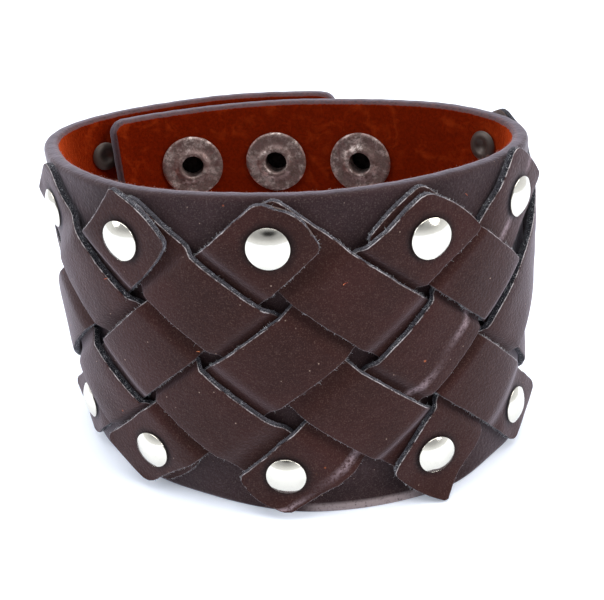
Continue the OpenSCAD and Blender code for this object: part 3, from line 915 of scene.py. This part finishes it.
# A strap is a slab whose height follows what it crosses: level 0 on the band, 1 on a strap, with a
# low dome on top of a crossing. Its rows run parallel to the straps that it crosses. The grid u
# is the way along it from its top rivet, v the share of the way from its middle to its edge, and
# s and z are the place on the band.
def buildStrap(kind, number):
    name = kind + str(number)
    row = rowOf(name)
    k = row["rivet"]
    start, end = lineOf(kind, k)
    length = np.linalg.norm(end - start)
    direction = (end - start) / length
    side = np.array([math.cos(slope), math.sin(slope) if kind == "down" else -math.sin(slope)])
    half = strapSizes["width"] / 2 / abs(cross2(direction, side))
    head, tail = -row["reach"][0], length + row["reach"][1]
    u = head + edgeRows(tail - head, strapSizes["fine"], strapSizes["step"])
    v = edgeRows(2 * half, strapSizes["fine"], strapSizes["stepAcross"]) - half
    uGrid, vGrid = np.meshgrid(u, v / half, indexing="ij")
    seed = 10 * number + seeds[kind + "Straps"]
    upper = uGrid < (head + tail) / 2

    # The value of a pair that holds in the upper or the lower half
    def pick(key):
        return np.where(upper, row[key][0], row[key][1])

    # The outline: rounded corners, a tab that narrows, turns and bulges, and a ragged cut
    fromEnd = np.minimum(uGrid - head, tail - uGrid)
    past = np.where(upper, -uGrid, uGrid - length) + strapSizes["tabFrom"]
    past = np.clip(past / (strapSizes["tabFrom"] + pick("reach")), 0, 1)
    corner = np.where(upper, cornerCut(uGrid - head, row["corner"][0]),
                      cornerCut(tail - uGrid, row["corner"][1]))
    reach = half - pick("narrow") * past ** 0.5 - corner
    longer, shorter = strapSizes["raggedLengths"]
    ragged = strapSizes["ragged"] * unevenness(uGrid, 0 * uGrid, longer, seed)
    ragged = ragged + strapSizes["ragged"] / 2 * unevenness(uGrid, 0 * uGrid, shorter, seed + 1)
    bulge = pick("bulge") * vGrid ** 2 * np.clip(1 - fromEnd / strapSizes["bulgeReach"], 0, 1) ** 2
    lengthwise = uGrid + np.where(upper, bulge, -bulge)
    sideways = vGrid * (reach + ragged * np.abs(vGrid) ** 3) + shiftAt(row, uGrid / length)
    sideways = sideways + pick("turn") * past ** 1.5
    flat = start + lengthwise[..., None] * direction + sideways[..., None] * side
    sGrid, zGrid = flat[..., 0], np.maximum(flat[..., 1], strapSizes["lowest"])
    beside = reach * (1 - np.abs(vGrid))
    toEdge = np.minimum(fromEnd, beside)

    # Its height over the band: the weave, the stiff tabs and their curled corners
    meets = meetingsOf(kind, k)
    keys = [x for at, over, hold in meets for x in ((at - hold, over), (at + hold, over))]
    level = smooth(np.interp(uGrid, [x[0] for x in keys], [x[1] for x in keys]))
    domeHalf = halfCrossing + strapSizes["domeReach"]
    dome = sum(strapSizes["dome"] * over * np.clip(1 - ((uGrid - at) / domeHalf) ** 2, 0, 1)
               for at, over, hold in meets[1:-1])
    stand = tabStand(sGrid, uGrid, kind, k, start, end, length)
    base = strapSizes["gap"] + layerRise * level + dome + stand
    nearEnd = np.clip(1 - fromEnd / strapSizes["curlReach"], 0, 1)
    curl = strapSizes["curl"] * nearEnd ** 2 * np.abs(vGrid) ** 1.5

    # Its surface: lumps, dimples, a painted shadow round the caps, rounded edges and the pressed
    # line
    lumps = strapSizes["lumps"] * unevenness(sGrid, zGrid, strapSizes["lumpLength"], seed + 2)
    lumps = lumps * np.clip(toEdge / strapSizes["lumpFrom"], 0, 1)
    shade = np.zeros(uGrid.shape)
    for at in (0, length):
        rivet = start + at * direction
        near = np.hypot(sGrid - rivet[0], zGrid - rivet[1])
        shade = np.maximum(shade, 1 - ramp(near, strapSizes["shadeRadii"]))
        dimple = np.clip(1 - (near / strapSizes["dimpleRadius"]) ** 2, 0, 1)
        lumps = lumps - strapSizes["dimple"] * dimple
    drop = cornerCut(toEdge, strapSizes["edge"])
    crown = strapSizes["crown"] * np.clip(1 - toEdge / strapSizes["crownReach"], 0, 1) ** 2
    pressed = np.zeros(uGrid.shape)
    if name == creased["strap"]:
        first, last = creased["at"]
        off = vGrid - first - (last - first) * uGrid / length
        pressed = np.exp(-(off * half / creased["width"]) ** 2)
    bottom = base + curl + drop * strapSizes["edgeBelow"]
    top = base + curl + strapSizes["thickness"] - drop - crown + lumps
    top = top - creased["depth"] * pressed

    points = slabPoints(sGrid, zGrid, top, bottom)
    keep = np.ones((len(u) - 1, len(v) - 1), bool)
    faces = [q for group in slabFaces(*sGrid.shape, keep) for q in group]
    rim = toEdge < 1e-6
    # Which way each edge faces: edges that face up show more of the light line, a painted highlight
    none = 0 * toEdge
    beyond = np.sign(cross2(direction, side)) * direction[0]
    facing = np.where(beside < fromEnd, np.sign(vGrid) * beyond,
                      np.where(upper, 1, -1) * -direction[1])
    layer = np.where(rim, 0.9, np.where(toEdge < 0.08, 0.3, 0))
    makePiece("strap" + kind.capitalize() + str(number), points, faces, strapSkin,
              [f"strap_{kind}_{number}"],
              {"layer": slabValue(layer, np.where(rim, 1.0, 2)),
               "edge": slabValue(toEdge, none),
               "scuffAndHighlight": slabValue(0.25 + 0.75 * smooth(0.5 + facing), none),
               "crease": slabValue(pressed, none),
               "shade": slabValue(shade, none)})
    return name, (sGrid, zGrid, top, bottom)


strapGrids = [buildStrap(kind, number) for kind in ("down", "up") for number in range(1, 6)]
print("straps made")


# Loose fibres

# The fibres of the straps' cuts. A length is the least and the most, and a curve holds the two
# numbers of the beta distribution that it is drawn from.
fray = {
    "perMillimetre": 9,
    "length": (0.10, 0.70),
    "radius": 0.024,
    "tuft": 4,
    "endBonus": 0.35,
    "keptOver": (-0.9, 0.5),
    "reach": 0.5,
    "wander": 0.5,
    "lift": (0.25, 0.6),  # how far they lean out of the face, and how unevenly
    "depthCurve": (1.8, 1.0),
    "lengthCurve": (1.2, 4.0),
    "step": 0.2,  # half the stretch of the rim that gives its direction
    "lowest": 1.0,
}

# The fibres of the band's upper rim. Each pair but the curve is the least and the most.
rimFray = {
    "ends": (-58, 58),
    "perMillimetre": 8,
    "length": (0.08, 0.40),
    "lengthCurve": (1.2, 3.0),
    "below": (0.10, 0.55),  # how far below the edge they start
    "deep": (0.05, 0.25),  # how deep in the leather
    "aside": 0.35,
    "rise": (0.1, 0.7),
    "inward": (0.1, 0.6),
}

# Each thread: its place along the leather, height, length and direction
lint = {
    "threads": ((32, 46.4, 0.9, 2.2), (-21.5, 36.5, 0.7, 0.4), (12.5, 38.2, 0.6, 1.2),
                (-7, 28, 0.5, 2.8)),
    "radius": 0.05,
    "strapsEnd": 45,
    "onBand": 0.1,
    "onStrap": 3.0,
    "rise": 0.05,
}

# What they all share: where a fibre has its rings, how much thinner it gets, and how far it bends
fibre = {"sides": 3, "rings": (0.0, 0.4, 0.75), "taper": 0.7, "bend": 0.5}


# Bent spikes, each with a few rings and a tip: one runs from its root along its direction, plus a
# sideways bend times the square of the way, and tapers
def spikes(roots, directions, lengths, radius, seed):
    local = np.random.default_rng(seed)
    n, sides = len(roots), fibre["sides"]
    directions = directions / np.linalg.norm(directions, axis=1, keepdims=True)
    helper = np.where(np.abs(directions[:, 2:]) < 0.8, [[0, 0, 1.0]], [[1.0, 0, 0]])
    a = np.cross(directions, helper)
    a /= np.linalg.norm(a, axis=1, keepdims=True)
    b = np.cross(directions, a)
    bend = a * local.normal(0, fibre["bend"], (n, 1)) + b * local.normal(0, fibre["bend"], (n, 1))
    angle = (np.arange(sides) * 2 * math.pi / sides)[None, :, None]
    around = a[:, None] * np.cos(angle) + b[:, None] * np.sin(angle)
    rings = []
    for share in fibre["rings"]:
        middle = roots + (directions * share + bend * share ** 2) * lengths[:, None]
        rings.append(middle[:, None] + radius * (1 - fibre["taper"] * share) * around)
    tip = (roots + (directions + bend) * lengths[:, None])[:, None]
    points = np.concatenate([*rings, tip], axis=1).reshape(-1, 3)
    count = sides * len(rings)
    base = np.arange(n)[:, None] * (count + 1)
    last = base + count - sides
    quads, ends = [], []
    for i in range(len(rings) - 1):
        for j in range(sides):
            k = (j + 1) % sides
            ring = base + sides * i
            quads.append(np.hstack([ring + j, ring + k, ring + sides + k, ring + sides + j]))
    for j in range(sides):
        ends.append(np.hstack([last + j, last + (j + 1) % sides, base + count]))
    ends.append(np.hstack([base + j for j in reversed(range(sides))]))
    return points, list(np.concatenate(quads)) + list(np.concatenate(ends))


# Fibres stand out of the cut rim of a strap, most of them in tufts: places at random round the
# rim are kept where slow waves run high
def frayStrap(name, grid, seed):
    sGrid, zGrid, top, bottom = grid
    local = np.random.default_rng(seed)
    ring = [np.s_[:, 0], np.s_[-1, :], np.s_[::-1, -1], np.s_[0, ::-1]]
    isEnd = np.concatenate([np.full(len(sGrid[i]), k % 2) for k, i in enumerate(ring)])
    s, z = (np.concatenate([x[i] for i in ring]) for x in (sGrid, zGrid))
    t, b = (np.concatenate([x[i] for i in ring]) for x in (top, bottom))
    walked = np.concatenate([[0], np.cumsum(np.hypot(np.diff(s), np.diff(z)))])
    count = int(walked[-1] * fray["perMillimetre"])
    at = local.uniform(0, walked[-1], count)
    tuft = unevenness(at, 0 * at, fray["tuft"], seed + 5)
    tuft = tuft + fray["endBonus"] * np.interp(at, walked, isEnd)
    isKept = tuft > local.uniform(*fray["keptOver"], count)
    at = at[isKept & (np.interp(at, walked, z) > fray["lowest"])]
    n = len(at)
    si, zi = np.interp(at, walked, s), np.interp(at, walked, z)
    share = local.beta(*fray["depthCurve"], n)  # more of them near the grain face
    di = np.interp(at, walked, b) * (1 - share) + np.interp(at, walked, t) * share
    centre = np.array([np.mean(sGrid), np.mean(zGrid)])
    after, before = at + fray["step"], at - fray["step"]
    ds = np.interp(after, walked, s) - np.interp(before, walked, s)
    dz = np.interp(after, walked, z) - np.interp(before, walked, z)
    length = np.hypot(ds, dz) + 1e-9
    ns, nz = dz / length, -ds / length
    flip = np.sign(ns * (si - centre[0]) + nz * (zi - centre[1]))
    ns, nz = ns * flip, nz * flip
    reach, (lift, liftShare) = fray["reach"], fray["lift"]
    away = local.normal(0, fray["wander"], (3, n))
    roots = skin(si, zi, di)
    tips = skin(si + reach * (ns + away[0]), zi + reach * (nz + away[1]),
                di + reach * (lift + liftShare * away[2]))
    low, high = fray["length"]
    lengths = (low + (high - low) * local.beta(*fray["lengthCurve"], n)) * mm
    points, faces = spikes(roots, tips - roots, lengths, fray["radius"] * mm, seed + 9)
    makePiece("fray" + name.capitalize(), points, faces, paleFibre)


# Short red fibres stand up along the brushed border of the band's upper edge, at random
def frayRim():
    local = np.random.default_rng(seeds["rim"])
    first, last = rimFray["ends"]
    s = local.uniform(first, last, int((last - first) * rimFray["perMillimetre"]))
    n = len(s)
    z = oval["height"] + extraAt(s) - local.uniform(*rimFray["below"], n)
    depth = local.uniform(*rimFray["deep"], n) - band["thickness"]
    roots = skin(s, z, depth)
    tips = skin(s + local.normal(0, rimFray["aside"], n), z + local.uniform(*rimFray["rise"], n),
                depth - local.uniform(*rimFray["inward"], n))
    low, high = rimFray["length"]
    lengths = (low + (high - low) * local.beta(*rimFray["lengthCurve"], n)) * mm
    points, faces = spikes(roots, tips - roots, lengths, fray["radius"] * mm, seeds["rimShape"])
    makePiece("frayRim", points, faces, rustFibre)


# Threads of lint that lie on the band, above the straps' ends, or on the straps
def scatterLint():
    s, z, length, heading = (np.array(column) for column in zip(*lint["threads"]))
    depth = np.where(z > lint["strapsEnd"], lint["onBand"], lint["onStrap"])
    roots = skin(s, z, depth)
    tips = skin(s + np.cos(heading), z + np.sin(heading), depth + lint["rise"])
    points, faces = spikes(roots, tips - roots, length * mm, lint["radius"] * mm, seeds["lint"])
    makePiece("lint", points, faces, lintFibre)


for index, (name, grid) in enumerate(strapGrids):
    frayStrap(name, grid, seeds["fray"] + index)
frayRim()
scatterLint()
print("strap edges frayed")


# Metal fittings

rivetSizes = {
    "cap": 6.0,
    "capHeight": 1.15,
    "capRim": 0.3,
    "back": 5.0,
    "backHeight": 0.6,
    "shank": 2.4,
    "seat": 0.08,
    "segments": 56,
    "darkRings": 3,
    "backDull": 0.97,
}


# A low dome with a rolled edge: its height falls as a power of the radius, then the edge turns
# under on a small arc
def domeProfile(diameter, height, rim, power=2.05, rings=14):
    r = diameter / 2
    crownShare, edgeShare, edgeRoll = 0.983, 0.965, 0.035
    x = np.linspace(0.02, 1, rings) ** 0.8
    shoulder = 0.9 * rim
    crown = [(r * a * crownShare, shoulder + (height - shoulder) * (1 - a ** power)) for a in x]
    edge = [(r * edgeShare + edgeRoll * r * math.sin(a), rim * 0.5 + rim * 0.5 * math.cos(a))
            for a in np.linspace(0.6, math.pi, 7)]
    return crown + edge


bendStep = 1.5  # both in millimetres
flattestBend = 90


# Radius of the leather's bend, from the circle through three places a step apart: the product of
# its triangle's sides over four times its area
def radiusAt(along):
    places = np.array([along - bendStep, along, along + bendStep])
    x, y = skin(places, 0.0, 0.0)[:, :2].T / mm
    area = abs((x[1] - x[0]) * (y[2] - y[0]) - (x[2] - x[0]) * (y[1] - y[0])) / 2
    sides = [math.hypot(x[i] - x[j], y[i] - y[j]) for i, j in ((0, 1), (1, 2), (0, 2))]
    return sides[0] * sides[1] * sides[2] / (4 * area + 1e-9)


# How far the middle of a flat disc stands off the hollow side of that bend: the square of its
# radius over twice the bend's, which counts as no flatter than the flattest
def standOff(along, radius):
    return radius ** 2 / (2 * (min(radiusAt(along), flattestBend) - band["thickness"]))


# A rivet is one turned profile: its cap on so many layers of strap, its shank, and a rolled back
# inside the band. Dull darkens the rings under the cap's edge, a painted shadow, and those of the
# back.
def buildRivet(name, node, place, layers):
    along, height = place
    foot = layers * layerRise + rivetSizes["seat"]
    back = -band["thickness"] - 2 * rivetSizes["seat"] - standOff(along, rivetSizes["back"] / 2)
    shank = rivetSizes["shank"] / 2
    r, h = rivetSizes["back"] / 2, rivetSizes["backHeight"]
    dome = domeProfile(rivetSizes["cap"], rivetSizes["capHeight"], rivetSizes["capRim"])
    cap = [(a, b + foot) for a, b in dome]
    under = [(shank, foot), (shank, back)]
    button = [(r * 0.97, back), (r, back - 0.12), (r * 0.96, back - 0.28),
              (r * 0.8, back - h * 0.85), (r * 0.58, back - h), (r * 0.42, back - h * 0.8),
              (r * 0.33, back - 0.15), (0.1, back - 0.05)]
    profile = cap + under + button
    points = turned(profile, along, height, 0.0, rivetSizes["segments"])
    faces = turnedFaces(len(profile), rivetSizes["segments"], False)
    ring = np.arange(len(profile))
    dull = np.where(ring < len(cap), 1, rivetSizes["backDull"])
    dull = np.where(ring < len(cap) - rivetSizes["darkRings"], 0, dull)
    makePiece(name, points, faces, brightNickel, [node],
              {"dull": np.repeat(dull, rivetSizes["segments"])}, sharp=50)


for k in range(rivetCount):
    layers = isThere("down", k) + isThere("up", k)
    buildRivet(f"rivetTop{k}", f"rivet_top_{k}", topRivets[k], layers)
    layers = isThere("down", k - weaveStep) + isThere("up", k + weaveStep)
    buildRivet(f"rivetBottom{k}", f"rivet_bottom_{k}", bottomRivets[k], layers)

snap = {
    "capDiameter": 12.4,
    "capHeight": 2.2,
    "capRim": 0.5,
    "stem": 1.5,
    "stemReach": 0.5,
    "post": 10.8,
    "hole": 3.9,
    "stud": 10.2,
    "bulb": 1.9,
    "segments": 72,
}


# One turned part of a snap: a profile, its seat on the leather, and its material
def buildTurned(name, node, profile, along, height, depth, finish, closed=True, deep=0.0):
    material, slotName = finish
    points = turned(profile, along, height, depth, snap["segments"])
    faces = turnedFaces(len(profile), snap["segments"], closed)
    makePiece(name, points, faces, material, [node],
              {"deep": np.full(len(points), deep)}, sharp=60)


# The ring inside the wrist opening: a rolled outer edge, a shallow dish and a raised lip
def postProfile():
    r, hole = snap["post"] / 2, snap["hole"] / 2
    face = [(r - 0.25, 0.0), (r, -0.12), (r - 0.05, -0.32), (r - 0.35, -0.46), (r - 0.8, -0.44),
            (r - 1.3, -0.36), (r - 1.9, -0.36), (r - 2.3, -0.46), (hole + 0.75, -0.74),
            (hole + 0.45, -0.86), (hole + 0.15, -0.84), (hole, -0.7)]
    tube = [(hole, 2.3), (hole + 0.25, 2.3), (hole + 0.28, 0.0)]
    return face + tube


# The stud on the outer face: a round bulb on a flat disc with a rolled edge
def studProfile():
    r, b = snap["stud"] / 2, snap["bulb"]
    return [(0.05, 0.78), (b * 0.6, 0.8), (b * 0.92, 0.7), (b, 0.55), (b * 0.94, 0.4),
            (b + 0.5, 0.33), (r - 1.2, 0.3), (r - 0.9, 0.35), (r - 0.4, 0.35), (r - 0.08, 0.25),
            (r, 0.12), (r - 0.1, 0.0), (0.05, 0.0)]


# The cap on the outer end: a flatter dome on a stem that goes through the leather
def snapCapProfile():
    bottom = -band["thickness"] - snap["stemReach"]
    dome = domeProfile(snap["capDiameter"], snap["capHeight"], snap["capRim"], power=2.6, rings=20)
    return dome + [(snap["stem"], 0.0), (snap["stem"], bottom), (0.05, bottom)]


bright, aged = (brightNickel, "nickel"), (wornNickel, "aged_nickel")
for (row, k), (along, height) in posts.items():
    label = row.capitalize() + str(k)
    seat = rivetSizes["seat"]
    depth = -band["thickness"] - seat - standOff(along, snap["post"] / 2)
    buildTurned("snapPost" + label, f"snap_post_{row}_{k}", postProfile(), along, height, depth,
                aged)
    # The stud is near black all over, a painted shade at the bottom of the post's hole
    buildTurned("snapStud" + label, f"snap_stud_{row}_{k}", studProfile(), along, height, seat,
                aged, closed=False, deep=1.0)
    if k < spareColumn:  # the outer end closes on all columns but the spare one
        buildTurned("snapCap" + label, f"snap_cap_{row}_{k}", snapCapProfile(), along - girth,
                    height, seat, bright, closed=False)

# The sockets keep the frame's own shape
for name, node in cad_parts.items():
    if name.startswith("snap_socket"):
        for materialSlot in node.material_slots:
            materialSlot.material = wornNickel
print("rivets and snaps made")


# Camera: the photograph's place and lens. Its focal length and optical centre are in pixels of
# its 604 by 600 frame, its distance and aim in millimetres, its angles in degrees.
photo = {
    "width": 604,
    "height": 600,
    "focal": 919.83,
    "centre": (287.69, 282.93),
    "distance": 154.54,
    "aim": 25.0,
    "elevation": 25.01,
    "roll": -3.79,
    "turn": 11.91,
}


# The camera looks down at the bracelet's middle from its elevation, rolled about its own axis and
# turned about the upright one
def placeCamera():
    e, r, y = (math.radians(photo[k]) for k in ("elevation", "roll", "turn"))
    spin = Matrix.Rotation(y, 3, "Z")
    back, rise = photo["distance"] * math.cos(e), photo["distance"] * math.sin(e)
    position = Vector((0, -back, photo["aim"] + rise))
    forward = Vector((0, math.cos(e), -math.sin(e)))
    right = Vector((1, 0, 0))
    up = right.cross(forward)
    tiltedRight = math.cos(r) * right + math.sin(r) * up
    tiltedUp = math.cos(r) * up - math.sin(r) * right
    axes = Matrix((spin @ tiltedRight, spin @ tiltedUp, spin @ -forward)).transposed()
    place = spin @ position - Vector((*oval["centre"], 0))
    data = bpy.data.cameras.new("camera")
    data.sensor_width = 36
    data.lens = photo["focal"] * data.sensor_width / photo["width"]
    data.shift_x = (photo["width"] / 2 - photo["centre"][0]) / photo["width"]
    data.shift_y = (photo["centre"][1] - photo["height"] / 2) / photo["width"]
    data.clip_start = 0.005
    data.clip_end = 20
    camera = bpy.data.objects.new("camera", data)
    bpy.context.scene.collection.objects.link(camera)
    camera.matrix_world = Matrix.Translation(place * mm) @ axes.to_4x4()
    bpy.context.scene.camera = camera


placeCamera()


# Floor and light

# The valley is a dimmer belt of the room between two heights, the patch a dark spot in it. Both
# show only on the camera's side. Heights are sines of an elevation, angles are in degrees. A lamp
# has a name, a place, a target, a width, a power and a colour.
studio = {
    "floor": 3.0,
    "floorColour": (0.84, 0.88, 0.95),
    "floorGlow": (0.80, 0.88, 1.0),
    "floorGlowStrength": 0.20,
    "world": (0.88, 0.90, 0.95),
    "worldStrength": 0.94,
    "horizon": 0.30,
    "horizonHeights": (0.0, 0.30),
    "valley": 0.42,
    "valleyFrom": (0.05, 0.34),
    "valleyTo": (0.44, 0.64),
    "patch": 0.015,
    "patchTurn": -8,
    "patchElevation": 29,
    "patchSize": (26, 8),
    "patchFade": (0.35, 1.3),
    "patchFront": (0.0, 0.2),
    "valleyFront": (-0.1, 0.6),
    "lamps": (
        ("above", (0.0, 0.15, 1.5), (0, 0, 0), 1.6, 20, (1.0, 0.98, 0.96)),
        ("left", (-1.3, -0.5, 0.9), (0, 0, 0.02), 0.9, 10, (0.95, 0.97, 1.0)),
        ("right", (1.3, -0.4, 0.9), (0, 0, 0.02), 0.9, 14, (1.0, 0.98, 0.97)),
    ),
}


# The room: bright, lightest at the horizon, with a dimmer belt above it on the camera's side and
# in the belt a soft dark patch that the metal mirrors. The patch is an ellipse in sideways and
# upward angle.
def buildRoom():
    world = bpy.data.worlds.new("room")
    sheet = Sheet(world, "Generated")
    turn = math.radians(photo["turn"] + studio["patchTurn"])
    toward = (math.sin(turn), -math.cos(turn), 0.0)
    across = (math.cos(turn), math.sin(turn), 0.0)
    up = sheet.dot(sheet.place, (0.0, 0.0, 1.0))
    wide, tall = (math.sin(math.radians(a)) for a in studio["patchSize"])
    x = sheet.dot(sheet.place, across) / wide
    z = (up - math.sin(math.radians(studio["patchElevation"]))) / tall
    far = (x * x + z * z).math("SQRT")
    inFront = sheet.dot(sheet.place, toward)
    glow = 1 - up.between(*studio["horizonHeights"])
    belt = up.between(*studio["valleyFrom"]) * (1 - up.between(*studio["valleyTo"]))
    dim = 1 - belt * inFront.between(*studio["valleyFront"]) * studio["valley"]
    dark = (1 - far.between(*studio["patchFade"])) * inFront.between(*studio["patchFront"])
    level = dim * (1 + glow * studio["horizon"]) * 0.5
    colour = sheet.mix(level, (0.0, 0.0, 0.0), tuple(2 * c for c in studio["world"]))
    colour = sheet.mix(dark, colour, tuple(c * studio["patch"] for c in studio["world"]))
    background = sheet.add("ShaderNodeBackground", None,
                           {"Color": colour, "Strength": studio["worldStrength"]})
    output = sheet.tree.nodes.new("ShaderNodeOutputWorld")
    sheet.tree.links.new(background.socket, output.inputs["Surface"])
    bpy.context.scene.world = world


# A white paper floor that glows a little, and round lamps
def buildStudio():
    size = studio["floor"]
    corners = [(-size, -size, 0), (size, -size, 0), (size, size, 0), (-size, size, 0)]
    mesh = bpy.data.meshes.new("floor")
    mesh.from_pydata(corners, [], [(0, 1, 2, 3)])
    floor = bpy.data.objects.new("floor", mesh)
    bpy.context.scene.collection.objects.link(floor)
    sheet = materialSheet("paper")
    mesh.materials.append(sheet.finish(Base_Color=studio["floorColour"], Roughness=0.7,
                                       Specular_IOR_Level=0.3, Emission_Color=studio["floorGlow"],
                                       Emission_Strength=studio["floorGlowStrength"]))
    for name, place, target, width, power, colour in studio["lamps"]:
        data = bpy.data.lights.new(name, "AREA")
        data.shape = "DISK"
        data.size = width
        data.energy = power
        data.color = colour
        lamp = bpy.data.objects.new(name, data)
        bpy.context.scene.collection.objects.link(lamp)
        lamp.location = place
        lamp.rotation_euler = (Vector(place) - Vector(target)).to_track_quat("Z", "Y").to_euler()
    bpy.context.scene.view_settings.view_transform = "Standard"


buildRoom()
buildStudio()
print("camera, floor and light placed")
